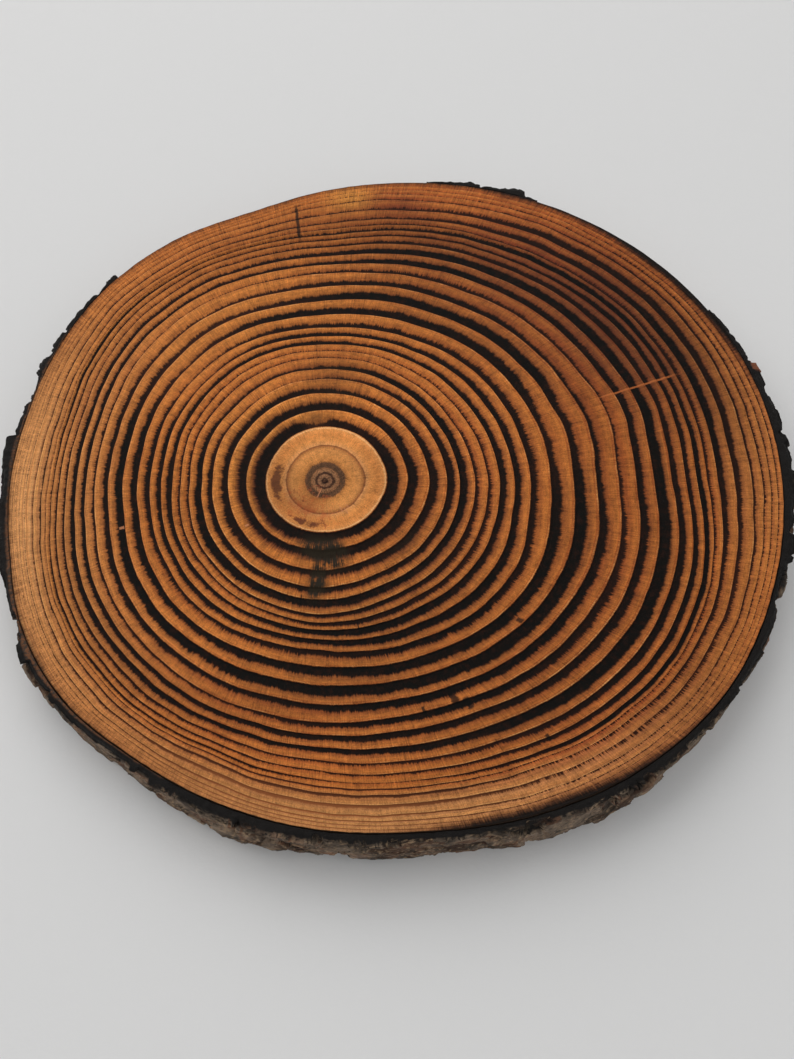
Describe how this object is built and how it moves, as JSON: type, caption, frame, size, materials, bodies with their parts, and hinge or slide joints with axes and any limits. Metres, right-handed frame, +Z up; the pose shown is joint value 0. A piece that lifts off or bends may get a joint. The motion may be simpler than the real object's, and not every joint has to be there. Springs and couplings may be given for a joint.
{
  "type": "wood slice",
  "caption": "Flat round slice sawn across a conifer trunk, top face torched so that the year rings stand out in relief, with strips of bark left on its edge.",
  "frame": {"origin": "middle of the slice's box, on the surface that it lies on", "axes": "+Z up, out of the torched face; +X to the right in the picture, along the slightly longer width; +Y away from the viewer"},
  "size_m": [0.1884, 0.1819, 0.015],
  "materials": {
    "wood": "torched and brushed conifer wood, satin, with charred early bands",
    "bark": "flaky grey-brown bark with a charred black top edge, matt"
  },
  "bodies": {
    "root": {"wood_disc": "wood", "bark_main": "bark", "bark_patch_back": "bark"}
  },
  "joints": []
}
